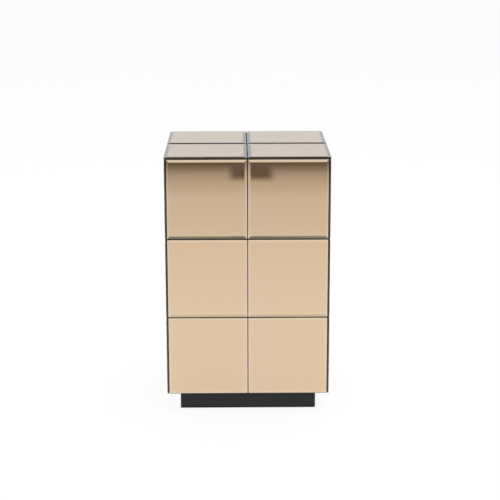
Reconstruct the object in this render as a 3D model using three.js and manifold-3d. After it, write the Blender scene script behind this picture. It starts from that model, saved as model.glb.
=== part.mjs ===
// A block side table: a hollow box of boards clad in bevelled bronze mirror tiles, standing on a recessed black
// plinth. Millimetres, +Z up. The origin is on the floor under the middle of the block, and the front faces -Y.

import * as THREE from 'three';
import { ConvexGeometry } from 'three/addons/geometries/ConvexGeometry.js';
import { mergeVertices } from 'three/addons/utils/BufferGeometryUtils.js';
import Module from 'manifold-3d';

const wasm = await Module();
wasm.setup();

// Driving dimensions
const bodyWidth = 312;
const bodyDepth = 312;
const totalHeight = 500;
const plinthHeight = 38;
const plinthInset = 25;
const glassThickness = 3;
const wallBevelWidth = 5;
const wallBevelDepth = 0.88;
const topBevelWidth = 6.5;
const topBevelDepth = 1.15;
const tileJoint = 1.5;
const bondThickness = 0.8;
const boardThickness = 12;
const battenWidth = 18;
const plinthBoardThickness = 12;
const cornerBlockWidth = 36;
const contactGap = 0.3;

const wallRows = ['bottom', 'middle', 'top'];
const wallColumns = ['left', 'right'];
const topRows = ['front', 'back'];

// Screws and glides
const screwRadius = 2;
const screwHeadRadius = 4;
const screwHeadHeight = 2.6;
const screwTipLength = 5;
const screwLength = 44;
const screwOffset = -8;
const glideHeight = 2;
const glideRadius = 10;
const glideEdgeRound = 0.6;
const glideNailRadius = 1.1;
const glideNailLength = 14;
const glideOffset = 6;
const roundSegments = 32;
const smallRoundSegments = 16;

// Levels and sizes that follow from them
const skinThickness = glassThickness + bondThickness + 2 * contactGap;
const carcassWidth = bodyWidth - 2 * skinThickness;
const carcassDepth = bodyDepth - 2 * skinThickness;
const carcassTop = totalHeight - skinThickness;
const wallTilesTop = totalHeight - glassThickness - tileJoint;
const wallTileHeight = (wallTilesTop - plinthHeight - tileJoint * (wallRows.length - 1)) / wallRows.length;
const wallBoardBottom = plinthHeight + boardThickness + contactGap;
const wallBoardTop = carcassTop - boardThickness - contactGap;
const plinthWidth = bodyWidth - 2 * plinthInset;
const plinthDepth = bodyDepth - 2 * plinthInset;
const plinthBoardTop = plinthHeight - contactGap;
const screwLevel = glideHeight + contactGap;

const materials = {
  mirror: new THREE.MeshStandardMaterial({ color: 0xc9a67c, roughness: 0.04, metalness: 1 }),
  board: new THREE.MeshStandardMaterial({ color: 0xa88a66, roughness: 0.85, metalness: 0 }),
  batten: new THREE.MeshStandardMaterial({ color: 0xcdb088, roughness: 0.8, metalness: 0 }),
  bond: new THREE.MeshStandardMaterial({ color: 0x1b1a18, roughness: 0.9, metalness: 0 }),
  plinth: new THREE.MeshStandardMaterial({ color: 0x191a18, roughness: 0.6, metalness: 0 }),
  screw: new THREE.MeshStandardMaterial({ color: 0xb9b5a2, roughness: 0.35, metalness: 1 }),
  glide: new THREE.MeshStandardMaterial({ color: 0x2a2a2a, roughness: 0.5, metalness: 0 }),
};

const table = new THREE.Group();

function piece(name, geometry, material, position) {
  const mesh = new THREE.Mesh(geometry, material);
  mesh.name = name;
  mesh.position.copy(position);
  return mesh;
}

// A box that fills the space between two corners.
function boxBetween(name, low, high, material) {
  const size = new THREE.Vector3().subVectors(high, low);
  const centre = new THREE.Vector3().addVectors(low, high).multiplyScalar(0.5);
  return piece(name, new THREE.BoxGeometry(size.x, size.y, size.z), material, centre);
}

// A glass tile lying in its own XY plane: its back is at z = 0, and its face, inside the bevel, at z = thickness.
function bevelledTileGeometry(width, height, bevelWidth, bevelDepth) {
  const points = [];
  for (const sideX of [-1, 1]) {
    for (const sideY of [-1, 1]) {
      const x = sideX * width / 2;
      const y = sideY * height / 2;
      points.push(new THREE.Vector3(x, y, 0));
      points.push(new THREE.Vector3(x, y, glassThickness - bevelDepth));
      points.push(new THREE.Vector3(x - sideX * bevelWidth, y - sideY * bevelWidth, glassThickness));
    }
  }
  return new ConvexGeometry(points);
}

function solidFrom(geometry) {
  const bare = geometry.clone();
  bare.deleteAttribute('normal');
  bare.deleteAttribute('uv');
  const merged = mergeVertices(bare);
  const vertProperties = new Float32Array(merged.attributes.position.array);
  const triVerts = new Uint32Array(merged.index.array);
  return new wasm.Manifold(new wasm.Mesh({ numProp: 3, vertProperties, triVerts }));
}

function geometryFrom(solid) {
  const mesh = solid.getMesh();
  const geometry = new THREE.BufferGeometry();
  geometry.setAttribute('position', new THREE.BufferAttribute(mesh.vertProperties, 3));
  geometry.setIndex(new THREE.BufferAttribute(mesh.triVerts, 1));
  geometry.computeVertexNormals();
  return geometry;
}

// Cuts each tool out of a geometry. All of them are in the same frame.
function cutFrom(geometry, tools) {
  let solid = solidFrom(geometry);
  for (const tool of tools) {
    solid = solid.subtract(solidFrom(tool));
  }
  return geometryFrom(solid);
}

// A body of revolution about Z. Each profile point is a radius and a height, and both ends are on the axis.
function turned(profile, segments) {
  const points = profile.map(([radius, height]) => new THREE.Vector2(radius, height));
  return new THREE.LatheGeometry(points, segments).rotateX(Math.PI / 2);
}

// The upright centre lines of the pieces in the four plinth corners, offset outwards from the block's middle.
function plinthCorners(offset) {
  const reach = cornerBlockWidth / 2 + plinthBoardThickness + contactGap - offset;
  const corners = [];
  for (const [depthName, sideY] of [['front', -1], ['back', 1]]) {
    for (const [widthName, sideX] of [['left', -1], ['right', 1]]) {
      const x = sideX * (plinthWidth / 2 - reach);
      const y = sideY * (plinthDepth / 2 - reach);
      corners.push({ name: `${depthName}_${widthName}`, x, y });
    }
  }
  return corners;
}

// A countersunk screw that stands on its head, or the hole for it, which is wider all round and open below.
function screwShape(clearance, openBelow) {
  const shank = screwRadius + clearance;
  const head = screwHeadRadius + clearance;
  const coneBottom = screwHeadHeight - screwHeadRadius + screwRadius;
  return turned([
    [0, -openBelow],
    [head, -openBelow],
    [head, coneBottom],
    [shank, screwHeadHeight],
    [shank, screwLength - screwTipLength + clearance],
    [0, screwLength + clearance],
  ], smallRoundSegments);
}

function screwGeometry() {
  return screwShape(0, 0);
}

function screwHole() {
  return screwShape(contactGap, glideHeight);
}

// The nail-on glide: a low disc with a rounded lower edge, and a nail that stands up from its middle.
function glideGeometry() {
  return turned([
    [0, 0],
    [glideRadius - glideEdgeRound, 0],
    [glideRadius, glideEdgeRound],
    [glideRadius, glideHeight - contactGap],
    [glideNailRadius, glideHeight - contactGap],
    [glideNailRadius, glideHeight + glideNailLength],
    [0, glideHeight + glideNailLength + glideNailRadius],
  ], roundSegments);
}

function nailHole() {
  const radius = glideNailRadius + contactGap;
  const depth = glideNailLength + 2 * glideNailRadius + contactGap;
  const hole = new THREE.CylinderGeometry(radius, radius, depth, smallRoundSegments).rotateX(Math.PI / 2);
  return hole.translate(0, 0, glideHeight + depth / 2 - glideNailRadius);
}

// One clad wall, made facing -Y and then turned to its side of the block.
function addCladWall(name, turn, wallDistance, clearWidth, bondWidth) {
  const wall = new THREE.Group();
  wall.rotation.z = turn;
  const tileWidth = (clearWidth - tileJoint * (wallColumns.length - 1)) / wallColumns.length;
  wallRows.forEach((rowName, row) => {
    wallColumns.forEach((columnName, column) => {
      const x = (column - (wallColumns.length - 1) / 2) * (tileWidth + tileJoint);
      const z = plinthHeight + wallTileHeight / 2 + row * (wallTileHeight + tileJoint);
      const position = new THREE.Vector3(x, glassThickness - wallDistance, z);
      const geometry = bevelledTileGeometry(tileWidth, wallTileHeight, wallBevelWidth, wallBevelDepth);
      const tile = piece(`${name}_tile_${rowName}_${columnName}`, geometry, materials.mirror, position);
      tile.rotation.x = Math.PI / 2;
      wall.add(tile);
    });
  });
  const bondFace = glassThickness + contactGap - wallDistance;
  wall.add(boxBetween(
    `${name}_bonding_sheet`,
    new THREE.Vector3(-bondWidth / 2, bondFace, plinthHeight),
    new THREE.Vector3(bondWidth / 2, bondFace + bondThickness, carcassTop),
    materials.bond,
  ));
  table.add(wall);
}

function addTopTiles() {
  const tileWidth = (bodyWidth - tileJoint) / 2;
  const tileDepth = (bodyDepth - tileJoint) / 2;
  topRows.forEach((rowName, row) => {
    wallColumns.forEach((columnName, column) => {
      const x = (column - 0.5) * (tileWidth + tileJoint);
      const y = (row - 0.5) * (tileDepth + tileJoint);
      const position = new THREE.Vector3(x, y, totalHeight - glassThickness);
      const geometry = bevelledTileGeometry(tileWidth, tileDepth, topBevelWidth, topBevelDepth);
      table.add(piece(`top_tile_${rowName}_${columnName}`, geometry, materials.mirror, position));
    });
  });
  table.add(boxBetween(
    'top_bonding_sheet',
    new THREE.Vector3(-carcassWidth / 2, -carcassDepth / 2, carcassTop + contactGap),
    new THREE.Vector3(carcassWidth / 2, carcassDepth / 2, carcassTop + contactGap + bondThickness),
    materials.bond,
  ));
}

// The top and bottom boards cover the ends of the walls. The front and back boards cover the side boards' edges.
function addCarcass() {
  const halfWidth = carcassWidth / 2;
  const halfDepth = carcassDepth / 2;
  const topLow = new THREE.Vector3(-halfWidth, -halfDepth, carcassTop - boardThickness);
  const topHigh = new THREE.Vector3(halfWidth, halfDepth, carcassTop);
  table.add(boxBetween('carcass_top_board', topLow, topHigh, materials.board));

  const bottomLow = new THREE.Vector3(-halfWidth, -halfDepth, plinthHeight);
  const bottomHigh = new THREE.Vector3(halfWidth, halfDepth, plinthHeight + boardThickness);
  const bottom = boxBetween('carcass_bottom_board', bottomLow, bottomHigh, materials.board);
  const screwHoles = plinthCorners(screwOffset).map(({ x, y }) => (
    screwHole().translate(x, y, screwLevel - bottom.position.z)
  ));
  bottom.geometry = cutFrom(bottom.geometry, screwHoles);
  table.add(bottom);

  for (const [name, side] of [['front', -1], ['back', 1]]) {
    const y = side * (halfDepth - boardThickness / 2);
    const low = new THREE.Vector3(-halfWidth, y - boardThickness / 2, wallBoardBottom);
    const high = new THREE.Vector3(halfWidth, y + boardThickness / 2, wallBoardTop);
    table.add(boxBetween(`carcass_${name}_board`, low, high, materials.board));
  }
  const innerDepth = halfDepth - boardThickness - contactGap;
  for (const [name, side] of [['left', -1], ['right', 1]]) {
    const x = side * (halfWidth - boardThickness / 2);
    const low = new THREE.Vector3(x - boardThickness / 2, -innerDepth, wallBoardBottom);
    const high = new THREE.Vector3(x + boardThickness / 2, innerDepth, wallBoardTop);
    table.add(boxBetween(`carcass_${name}_board`, low, high, materials.board));
  }
}

function addCornerBattens() {
  const x = carcassWidth / 2 - boardThickness - contactGap - battenWidth / 2;
  const y = carcassDepth / 2 - boardThickness - contactGap - battenWidth / 2;
  const height = wallBoardTop - wallBoardBottom;
  for (const [depthName, sideY] of [['front', -1], ['back', 1]]) {
    for (const [widthName, sideX] of [['left', -1], ['right', 1]]) {
      const position = new THREE.Vector3(sideX * x, sideY * y, wallBoardBottom + height / 2);
      const geometry = new THREE.BoxGeometry(battenWidth, battenWidth, height);
      table.add(piece(`corner_batten_${depthName}_${widthName}`, geometry, materials.batten, position));
    }
  }
}

function addPlinthBoards() {
  const halfWidth = plinthWidth / 2;
  const halfDepth = plinthDepth / 2;
  for (const [name, side] of [['front', -1], ['back', 1]]) {
    const y = side * (halfDepth - plinthBoardThickness / 2);
    const low = new THREE.Vector3(-halfWidth, y - plinthBoardThickness / 2, glideHeight);
    const high = new THREE.Vector3(halfWidth, y + plinthBoardThickness / 2, plinthBoardTop);
    table.add(boxBetween(`plinth_${name}_board`, low, high, materials.plinth));
  }
  const innerDepth = halfDepth - plinthBoardThickness - contactGap;
  for (const [name, side] of [['left', -1], ['right', 1]]) {
    const x = side * (halfWidth - plinthBoardThickness / 2);
    const low = new THREE.Vector3(x - plinthBoardThickness / 2, -innerDepth, glideHeight);
    const high = new THREE.Vector3(x + plinthBoardThickness / 2, innerDepth, plinthBoardTop);
    table.add(boxBetween(`plinth_${name}_board`, low, high, materials.plinth));
  }
}

function addPlinthFixings() {
  const blocks = plinthCorners(0);
  const screws = plinthCorners(screwOffset);
  const glides = plinthCorners(glideOffset);
  const blockHeight = plinthBoardTop - glideHeight;
  blocks.forEach((block, corner) => {
    const screw = screws[corner];
    const glide = glides[corner];
    const body = new THREE.BoxGeometry(cornerBlockWidth, cornerBlockWidth, blockHeight);
    body.translate(block.x, block.y, glideHeight + blockHeight / 2);
    const cut = cutFrom(body, [
      screwHole().translate(screw.x, screw.y, screwLevel),
      nailHole().translate(glide.x, glide.y, 0),
    ]);
    table.add(piece(`plinth_block_${block.name}`, cut, materials.batten, new THREE.Vector3()));
    const screwPosition = new THREE.Vector3(screw.x, screw.y, screwLevel);
    table.add(piece(`plinth_screw_${block.name}`, screwGeometry(), materials.screw, screwPosition));
    const glidePosition = new THREE.Vector3(glide.x, glide.y, 0);
    table.add(piece(`glide_${block.name}`, glideGeometry(), materials.glide, glidePosition));
  });
}

const frontClearWidth = bodyWidth - 2 * (glassThickness + tileJoint);
addCladWall('front', 0, bodyDepth / 2, frontClearWidth, carcassWidth);
addCladWall('right', Math.PI / 2, bodyWidth / 2, bodyDepth, carcassDepth);
addCladWall('back', Math.PI, bodyDepth / 2, frontClearWidth, carcassWidth);
addCladWall('left', -Math.PI / 2, bodyWidth / 2, bodyDepth, carcassDepth);
addTopTiles();
addCarcass();
addCornerBattens();
addPlinthBoards();
addPlinthFixings();

export default table;
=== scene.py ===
"""A mirror-clad block side table on a pale studio floor.

The walls and the top are tiles of bronze-tinted glass with a ground bevel, silvered behind and bonded to a
box of boards, over a recessed black plinth. Lengths are in metres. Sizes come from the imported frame.
"""

import math

import bmesh
import bpy
from mathutils import Matrix, Vector


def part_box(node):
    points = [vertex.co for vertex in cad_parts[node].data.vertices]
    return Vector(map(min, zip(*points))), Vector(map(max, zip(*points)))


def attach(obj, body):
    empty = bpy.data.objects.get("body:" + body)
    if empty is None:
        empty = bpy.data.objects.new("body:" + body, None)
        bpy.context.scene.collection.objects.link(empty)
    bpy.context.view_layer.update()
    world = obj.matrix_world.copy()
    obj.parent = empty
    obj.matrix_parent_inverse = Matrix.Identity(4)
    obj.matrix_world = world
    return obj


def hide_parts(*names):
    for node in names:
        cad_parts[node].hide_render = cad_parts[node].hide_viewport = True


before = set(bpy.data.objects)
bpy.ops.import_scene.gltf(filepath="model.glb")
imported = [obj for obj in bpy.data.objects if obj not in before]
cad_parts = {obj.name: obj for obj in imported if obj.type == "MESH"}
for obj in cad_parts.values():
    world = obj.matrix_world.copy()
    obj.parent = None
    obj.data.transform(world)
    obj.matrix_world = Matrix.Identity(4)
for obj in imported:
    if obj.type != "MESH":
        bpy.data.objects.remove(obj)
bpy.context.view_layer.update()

MM = 0.001
BODY = "root"

# Each clad face: the way out of it, and the ways across and up it.
FACES = {
    "front": (Vector((0, -1, 0)), Vector((1, 0, 0)), Vector((0, 0, 1))),
    "right": (Vector((1, 0, 0)), Vector((0, 1, 0)), Vector((0, 0, 1))),
    "back": (Vector((0, 1, 0)), Vector((-1, 0, 0)), Vector((0, 0, 1))),
    "left": (Vector((-1, 0, 0)), Vector((0, -1, 0)), Vector((0, 0, 1))),
    "top": (Vector((0, 0, 1)), Vector((1, 0, 0)), Vector((0, 1, 0))),
}

# Glass tile
WALL_BEVEL = (5 * MM, 0.88 * MM)  # width and depth
TOP_BEVEL = (6.5 * MM, 1.15 * MM)
ARRIS = 0.15 * MM
TILE_CORNER = 0.6 * MM
CORNER_STEPS = 3
EDGE_BANDS = (0, 1, 2)  # the bands of a tile's outline that are its ground edge
SILVER_GAP = 0.02 * MM
SILVER_THICKNESS = 0.1 * MM
SILVER_INSET = 0.3 * MM
GLASS_IOR = 1.52
GLASS_ABSORPTION = (36.0, 83.0, 145.0)  # per metre, for red, green and blue
ABSORPTION_HEADROOM = 1.25  # the density over the strongest absorption, so that no colour falls to 0

# Plinth
PLINTH_EDGE = 0.9 * MM

# Camera
CAMERA_LENS = 101.66
CAMERA_SENSOR = 36
CAMERA_PLACE = Vector((-0.0227, -2.7359, 0.9626))
CAMERA_AIM = Vector((0.0059, 0, 0.2845))
CAMERA_ROLL = -0.0019
CAMERA_CLIP = 60

# Walls and lamp
WALL_COLOUR = (0.965, 1.0, 1.02)
WALL_FADE = (0.24, 0.46)  # the sine of the elevation, where the walls start and end their fade
CEILING_LIGHT = 0.35
SOFTBOX_PLACE = Vector((0.3, 0.4, 3.2))
SOFTBOX_SIZE = 2.2
SOFTBOX_POWER = 50

# Floor
FLOOR_REACH = 14
FLOOR_GLOW = 0.925
FLOOR_ALBEDO = 0.12
CONTACT_SHADOW = 0.003
WHITE = (1, 1, 1)
FLOOR_LIGHT_REACH = 12.0
FLOOR_LIGHT = [  # distance in front of the table's middle, and the colour of the light there
    (0.85, WHITE),
    (1.45, (0.94, 0.93, 0.91)),
    (1.8, (0.85, 0.83, 0.8)),
    (2.15, (0.82, 0.8, 0.77)),
    (2.5, (0.61, 0.57, 0.51)),
    (2.6, (0.49, 0.47, 0.44)),
    (2.68, (0.34, 0.32, 0.28)),
    (2.8, (0.16, 0.14, 0.1)),
    (3.1, (0.09, 0.08, 0.06)),
    (4.2, (0.75, 0.73, 0.7)),
    (6.2, (0.75, 0.73, 0.7)),
    (7.0, (0.09, 0.08, 0.06)),
    (8.6, (0.09, 0.08, 0.06)),
    (10.0, WHITE),
]
DARK_SPREAD = (0.15, 0.34)  # where the sides of the strips fade, for each metre in front

# A patch of painted shade in the floor's light, at the near edge of the first dark strip
PAINTED_SHADE_X = 0.035
PAINTED_SHADE_SIDES = (0.055, 0.095)
PAINTED_SHADE_FRONT = (-2.42, -2.58)
PAINTED_SHADE_BACK = (-2.7, -3.0)
PAINTED_SHADE_COLOUR = (0.17, 0.14, 0.12)


# ---------------------------------------------------------------- shader nodes


def new_material(name):
    material = bpy.data.materials.new(name)
    material.use_nodes = True
    tree = material.node_tree
    shader = tree.nodes["Principled BSDF"]
    return material, tree, shader


def feed(tree, socket, value):
    """Links the socket if the value comes from another node, and sets it if it is a number or a colour."""
    if isinstance(value, bpy.types.NodeSocket):
        tree.links.new(value, socket)
    elif isinstance(value, tuple):
        socket.default_value = (*value, 1)
    else:
        socket.default_value = value


def math_node(tree, operation, first, second=0):
    node = tree.nodes.new("ShaderNodeMath")
    node.operation = operation
    feed(tree, node.inputs[0], first)
    feed(tree, node.inputs[1], second)
    return node.outputs["Value"]


def remapped(tree, source, low, high, start=0, end=1, interpolation="LINEAR"):
    """Carries a value that runs from start to end to low to high, and holds it there on both sides."""
    node = tree.nodes.new("ShaderNodeMapRange")
    node.interpolation_type = interpolation
    node.inputs["From Min"].default_value = start
    node.inputs["From Max"].default_value = end
    node.inputs["To Min"].default_value = low
    node.inputs["To Max"].default_value = high
    tree.links.new(source, node.inputs["Value"])
    return node.outputs["Result"]


def rising(tree, source, start, end):
    """Goes smoothly from 0 to 1 while the source goes from start to end."""
    return remapped(tree, source, 0, 1, start, end, "SMOOTHSTEP")


def mixed(tree, factor, first, second):
    """A colour between first and second. Each of the two is a colour or a socket."""
    node = tree.nodes.new("ShaderNodeMix")
    node.data_type = "RGBA"
    tree.links.new(factor, node.inputs["Factor"])
    colour_inputs = [socket for socket in node.inputs if socket.type == "RGBA"]
    feed(tree, colour_inputs[0], first)
    feed(tree, colour_inputs[1], second)
    return next(socket for socket in node.outputs if socket.type == "RGBA")


def scaled(tree, colour, factor):
    node = tree.nodes.new("ShaderNodeVectorMath")
    node.operation = "SCALE"
    tree.links.new(colour, node.inputs["Vector"])
    feed(tree, node.inputs["Scale"], factor)
    return node.outputs["Vector"]


def ramped(tree, source, stops):
    """A colour ramp through stops, which are positions from 0 to 1 with a colour each."""
    ramp = tree.nodes.new("ShaderNodeValToRGB")
    elements = ramp.color_ramp.elements
    while len(elements) < len(stops):
        elements.new(1.0)
    for element, (position, colour) in zip(elements, stops):
        element.position = position
        element.color = (*colour, 1)
    tree.links.new(source, ramp.inputs["Fac"])
    return ramp.outputs["Color"]


def two_colours(tree, source, dark, light):
    return ramped(tree, source, [(0.3, dark), (0.7, light)])


def noise(tree, scale, detail=3.0, roughness=0.5, stretch=(1, 1, 1)):
    place = tree.nodes.new("ShaderNodeTexCoord")
    mapping = tree.nodes.new("ShaderNodeMapping")
    mapping.inputs["Scale"].default_value = stretch
    tree.links.new(place.outputs["Object"], mapping.inputs["Vector"])
    texture = tree.nodes.new("ShaderNodeTexNoise")
    texture.inputs["Scale"].default_value = scale
    texture.inputs["Detail"].default_value = detail
    texture.inputs["Roughness"].default_value = roughness
    tree.links.new(mapping.outputs["Vector"], texture.inputs["Vector"])
    return texture.outputs["Fac"]


def place_parts(tree, coordinates):
    place = tree.nodes.new("ShaderNodeTexCoord")
    parts = tree.nodes.new("ShaderNodeSeparateXYZ")
    tree.links.new(place.outputs[coordinates], parts.inputs["Vector"])
    return parts.outputs


def bumped(tree, shader, source, distance):
    bump = tree.nodes.new("ShaderNodeBump")
    bump.inputs["Strength"].default_value = 1.0
    bump.inputs["Distance"].default_value = distance
    tree.links.new(source, bump.inputs["Height"])
    tree.links.new(bump.outputs["Normal"], shader.inputs["Normal"])


# ---------------------------------------------------------------- materials


def bronze_glass():
    material, tree, shader = new_material("bronze_glass")
    shader.inputs["Base Color"].default_value = (1, 1, 1, 1)
    shader.inputs["Transmission Weight"].default_value = 1.0
    shader.inputs["IOR"].default_value = GLASS_IOR
    wipe_marks = noise(tree, 14, detail=2)
    tree.links.new(remapped(tree, wipe_marks, 0.0, 0.008), shader.inputs["Roughness"])
    bumped(tree, shader, noise(tree, 11, detail=1), 0.00002)

    absorption = tree.nodes.new("ShaderNodeVolumeAbsorption")
    density = max(GLASS_ABSORPTION) * ABSORPTION_HEADROOM
    colour = [1 - taken / density for taken in GLASS_ABSORPTION]
    absorption.inputs["Color"].default_value = (*colour, 1)
    absorption.inputs["Density"].default_value = density
    output = tree.nodes["Material Output"]
    tree.links.new(absorption.outputs["Volume"], output.inputs["Volume"])
    return material


def silvering():
    material, tree, shader = new_material("silvering")
    shader.inputs["Metallic"].default_value = 1.0
    shader.inputs["Base Color"].default_value = (0.905, 0.91, 0.895, 1)
    cloud = noise(tree, 40)
    tree.links.new(remapped(tree, cloud, 0.01, 0.03), shader.inputs["Roughness"])
    return material


def sealed_edge():
    """The ground edge of a tile, sealed with dark paint, which lets no light in or out."""
    material, tree, shader = new_material("sealed_edge")
    grind = noise(tree, 900, detail=4)
    colour = two_colours(tree, grind, (0.052, 0.034, 0.017), (0.085, 0.06, 0.035))
    tree.links.new(colour, shader.inputs["Base Color"])
    tree.links.new(remapped(tree, grind, 0.5, 0.75), shader.inputs["Roughness"])
    shader.inputs["Specular IOR Level"].default_value = 0.08
    bumped(tree, shader, grind, 0.00005)
    return material


def black_foam():
    material, tree, shader = new_material("black_foam")
    cells = noise(tree, 900, detail=2)
    colour = two_colours(tree, cells, (0.02, 0.013, 0.007), (0.035, 0.024, 0.014))
    tree.links.new(colour, shader.inputs["Base Color"])
    shader.inputs["Roughness"].default_value = 0.95
    shader.inputs["Specular IOR Level"].default_value = 0.1
    bumped(tree, shader, cells, 0.0003)
    return material


def black_paint():
    material, tree, shader = new_material("black_paint")
    mottle = noise(tree, 35, detail=6)
    colour = two_colours(tree, mottle, (0.009, 0.011, 0.0098), (0.014, 0.0165, 0.015))
    tree.links.new(colour, shader.inputs["Base Color"])
    tree.links.new(remapped(tree, mottle, 0.5, 0.66), shader.inputs["Roughness"])
    shader.inputs["Specular IOR Level"].default_value = 0.35
    bumped(tree, shader, noise(tree, 1600, detail=2), 0.00006)
    return material


def fibreboard():
    material, tree, shader = new_material("fibreboard")
    fibres = noise(tree, 700, detail=8, roughness=0.7)
    colour = two_colours(tree, fibres, (0.27, 0.17, 0.09), (0.4, 0.27, 0.16))
    tree.links.new(colour, shader.inputs["Base Color"])
    shader.inputs["Roughness"].default_value = 0.85
    bumped(tree, shader, fibres, 0.0001)
    return material


def pine():
    """Planed softwood with its grain upright."""
    material, tree, shader = new_material("pine")
    grain = noise(tree, 260, detail=5, stretch=(1, 1, 0.06))
    colour = two_colours(tree, grain, (0.45, 0.28, 0.12), (0.68, 0.5, 0.28))
    tree.links.new(colour, shader.inputs["Base Color"])
    shader.inputs["Roughness"].default_value = 0.7
    bumped(tree, shader, grain, 0.0002)
    return material


def zinc():
    material, tree, shader = new_material("zinc")
    shader.inputs["Metallic"].default_value = 1.0
    cloud = noise(tree, 600)
    colour = two_colours(tree, cloud, (0.5, 0.49, 0.42), (0.62, 0.6, 0.54))
    tree.links.new(colour, shader.inputs["Base Color"])
    tree.links.new(remapped(tree, cloud, 0.25, 0.45), shader.inputs["Roughness"])
    return material


def nylon():
    material, tree, shader = new_material("nylon")
    cloud = noise(tree, 500)
    colour = two_colours(tree, cloud, (0.02, 0.02, 0.02), (0.035, 0.035, 0.035))
    tree.links.new(colour, shader.inputs["Base Color"])
    tree.links.new(remapped(tree, cloud, 0.35, 0.5), shader.inputs["Roughness"])
    return material


# ---------------------------------------------------------------- mesh tools


def outline(half_width, half_height, radius, steps):
    """Points round a rectangle with rounded corners, anticlockwise, and steps + 1 of them at each corner."""
    points = []
    for quarter, (side_x, side_y) in enumerate([(1, 1), (-1, 1), (-1, -1), (1, -1)]):
        for step in range(steps + 1):
            angle = math.radians(90 * (quarter + step / steps))
            x = side_x * (half_width - radius) + radius * math.cos(angle)
            y = side_y * (half_height - radius) + radius * math.sin(angle)
            points.append((x, y))
    return points


def stacked(name, loops, edge_bands=()):
    """A closed body through outlines at rising levels.

    Each loop is a half width, half height, radius and level. The bands listed in edge_bands, counted from the
    lowest, take the piece's second material.
    """
    shape = bmesh.new()
    rings = []
    for half_width, half_height, radius, level in loops:
        points = outline(half_width, half_height, radius, CORNER_STEPS)
        rings.append([shape.verts.new((x, y, level)) for x, y in points])
    for band, (lower, upper) in enumerate(zip(rings, rings[1:])):
        for i in range(len(lower)):
            j = (i + 1) % len(lower)
            face = shape.faces.new((lower[i], lower[j], upper[j], upper[i]))
            face.material_index = 1 if band in edge_bands else 0
    shape.faces.new(reversed(rings[0]))
    shape.faces.new(rings[-1])
    bmesh.ops.remove_doubles(shape, verts=shape.verts, dist=1e-7)
    mesh = bpy.data.meshes.new(name)
    shape.to_mesh(mesh)
    shape.free()
    return mesh


def add_piece(name, mesh, material, slot, *nodes):
    piece = bpy.data.objects.new(name, mesh)
    bpy.context.scene.collection.objects.link(piece)
    mesh.materials.append(material)
    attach(piece, BODY)
    if nodes:
        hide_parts(*nodes)
    return piece


def face_frame(face, centre, thickness):
    """Carries a piece that lies on its back to a face, with that back half a thickness below the centre."""
    out, across, up = FACES[face]
    turn = Matrix((across, up, out)).transposed().to_4x4()
    return Matrix.Translation(centre - out * thickness / 2) @ turn


# ---------------------------------------------------------------- pieces


def add_tile(node, face, glass, edge, silver):
    out, across, up = FACES[face]
    low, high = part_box(node)
    size = high - low
    half_width = abs(size.dot(across)) / 2
    half_height = abs(size.dot(up)) / 2
    thickness = abs(size.dot(out))
    place = face_frame(face, (low + high) / 2, thickness)
    bevel_width, bevel_depth = TOP_BEVEL if face == "top" else WALL_BEVEL
    edge_top = thickness - bevel_depth
    mesh = stacked(node, [
        (half_width - ARRIS, half_height - ARRIS, TILE_CORNER - ARRIS, 0),
        (half_width, half_height, TILE_CORNER, ARRIS),
        (half_width, half_height, TILE_CORNER, edge_top - ARRIS),
        (half_width - ARRIS, half_height - ARRIS, TILE_CORNER - ARRIS, edge_top),
        (half_width - bevel_width, half_height - bevel_width, 0, thickness),
    ], EDGE_BANDS)
    mesh.transform(place)
    tile = add_piece(f"{node}_glass", mesh, glass, "bronze_mirror", node)
    tile.data.materials.append(edge)

    back_width = half_width - SILVER_INSET
    back_height = half_height - SILVER_INSET
    backing = stacked(f"{node}_silver", [
        (back_width, back_height, TILE_CORNER, -SILVER_GAP - SILVER_THICKNESS),
        (back_width, back_height, TILE_CORNER, -SILVER_GAP),
    ])
    backing.transform(place)
    add_piece(f"{node}_silver", backing, silver, "bronze_mirror")


def add_plinth_board(node, paint):
    low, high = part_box(node)
    half = (high - low) / 2
    mesh = stacked(node, [
        (half.x - PLINTH_EDGE, half.y - PLINTH_EDGE, PLINTH_EDGE, 0),
        (half.x, half.y, PLINTH_EDGE, PLINTH_EDGE),
        (half.x, half.y, PLINTH_EDGE, 2 * half.z - PLINTH_EDGE),
        (half.x - PLINTH_EDGE, half.y - PLINTH_EDGE, PLINTH_EDGE, 2 * half.z),
    ])
    centre = (low + high) / 2
    mesh.transform(Matrix.Translation((centre.x, centre.y, low.z)))
    add_piece(f"{node}_painted", mesh, paint, "black_plinth", node)


def dress(material, *prefixes):
    """Gives every CAD node whose name starts with one of the prefixes its material."""
    for name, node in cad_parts.items():
        if name.startswith(prefixes):
            node.data.materials.clear()
            node.data.materials.append(material)


# ---------------------------------------------------------------- studio


def add_camera():
    camera = bpy.data.objects.new("camera", bpy.data.cameras.new("camera"))
    bpy.context.scene.collection.objects.link(camera)
    camera.data.lens = CAMERA_LENS
    camera.data.sensor_width = CAMERA_SENSOR
    camera.data.clip_end = CAMERA_CLIP
    turn = (CAMERA_AIM - CAMERA_PLACE).to_track_quat("-Z", "Y").to_matrix().to_4x4()
    roll = Matrix.Rotation(CAMERA_ROLL, 4, "Z")
    camera.matrix_world = Matrix.Translation(CAMERA_PLACE) @ turn @ roll
    bpy.context.scene.camera = camera


def add_world():
    """Bright walls that fade to a dimmer ceiling."""
    world = bpy.data.worlds.new("studio")
    bpy.context.scene.world = world
    world.use_nodes = True
    tree = world.node_tree
    height = place_parts(tree, "Generated")["Z"]
    fade = remapped(tree, height, 1, CEILING_LIGHT, *WALL_FADE, "SMOOTHSTEP")
    background = tree.nodes["Background"]
    background.inputs["Color"].default_value = (*WALL_COLOUR, 1)
    tree.links.new(fade, background.inputs["Strength"])


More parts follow.
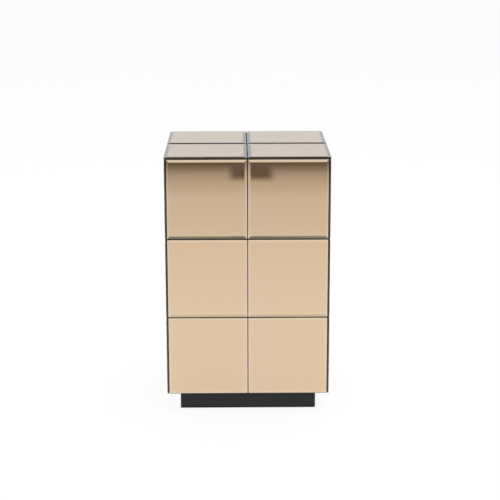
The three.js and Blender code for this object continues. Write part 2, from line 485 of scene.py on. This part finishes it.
def painted_shade_mask(tree, parts):
    """1 on the patch of floor that is painted with shade, and 0 round it."""
    from_shade = math_node(tree, "ABSOLUTE", math_node(tree, "SUBTRACT", parts["X"], PAINTED_SHADE_X))
    beside = rising(tree, from_shade, *PAINTED_SHADE_SIDES)
    past_front = rising(tree, parts["Y"], *PAINTED_SHADE_FRONT)
    past_back = rising(tree, parts["Y"], *PAINTED_SHADE_BACK)
    length = math_node(tree, "SUBTRACT", past_front, past_back)
    return math_node(tree, "MULTIPLY", length, math_node(tree, "SUBTRACT", 1, beside))


def floor_light(tree, parts):
    """The colour of the floor's light, which falls off in two dark strips in front of the table."""
    across = math_node(tree, "ABSOLUTE", parts["X"])
    along = math_node(tree, "ABSOLUTE", parts["Y"])
    ahead = remapped(tree, parts["Y"], 0, 1, 0, -FLOOR_LIGHT_REACH)
    stops = [(distance / FLOOR_LIGHT_REACH, colour) for distance, colour in FLOOR_LIGHT]
    lit = ramped(tree, ahead, stops)
    beside = rising(tree, math_node(tree, "DIVIDE", across, along), *DARK_SPREAD)
    lit = mixed(tree, beside, lit, WHITE)
    # Paints a patch of shade into the floor's light.
    lit = mixed(tree, painted_shade_mask(tree, parts), lit, PAINTED_SHADE_COLOUR)

    plinth_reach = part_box("plinth_front_board")[1].x
    from_middle = math_node(tree, "MAXIMUM", across, along)
    open_floor = rising(tree, from_middle, plinth_reach - CONTACT_SHADOW, plinth_reach + CONTACT_SHADOW)
    return scaled(tree, lit, open_floor)


def add_floor():
    """White paper that glows a little, so it stays white up to the plinth."""
    material, tree, shader = new_material("floor_paper")
    light = floor_light(tree, place_parts(tree, "Object"))
    tree.links.new(light, shader.inputs["Emission Color"])
    shader.inputs["Emission Strength"].default_value = FLOOR_GLOW
    tree.links.new(scaled(tree, light, FLOOR_ALBEDO), shader.inputs["Base Color"])
    shader.inputs["Roughness"].default_value = 0.9
    shader.inputs["Specular IOR Level"].default_value = 0.0
    mesh = bpy.data.meshes.new("floor")
    corners = [(FLOOR_REACH * x, FLOOR_REACH * y, 0) for x, y in [(-1, -1), (1, -1), (1, 1), (-1, 1)]]
    mesh.from_pydata(corners, [], [(0, 1, 2, 3)])
    floor = bpy.data.objects.new("floor", mesh)
    bpy.context.scene.collection.objects.link(floor)
    mesh.materials.append(material)


def add_softbox():
    lamp = bpy.data.lights.new("overhead_softbox", "AREA")
    lamp.shape = "SQUARE"
    lamp.size = SOFTBOX_SIZE
    lamp.energy = SOFTBOX_POWER
    holder = bpy.data.objects.new("overhead_softbox", lamp)
    bpy.context.scene.collection.objects.link(holder)
    holder.location = SOFTBOX_PLACE
    holder.rotation_euler = (-SOFTBOX_PLACE).to_track_quat("-Z", "Y").to_euler()


bpy.context.scene.view_settings.view_transform = "Standard"
add_camera()
add_world()
add_floor()
add_softbox()

glass = bronze_glass()
edge = sealed_edge()
silver = silvering()
for name in sorted(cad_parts):
    face, _, rest = name.partition("_")
    if face in FACES and rest.startswith("tile"):
        add_tile(name, face, glass, edge, silver)
paint = black_paint()
for side in ("front", "right", "back", "left"):
    add_plinth_board(f"plinth_{side}_board", paint)
dress(black_foam(), *(f"{face}_bonding_sheet" for face in FACES))
dress(fibreboard(), "carcass")
dress(pine(), "corner_batten", "plinth_block")
dress(zinc(), "plinth_screw")
dress(nylon(), "glide")
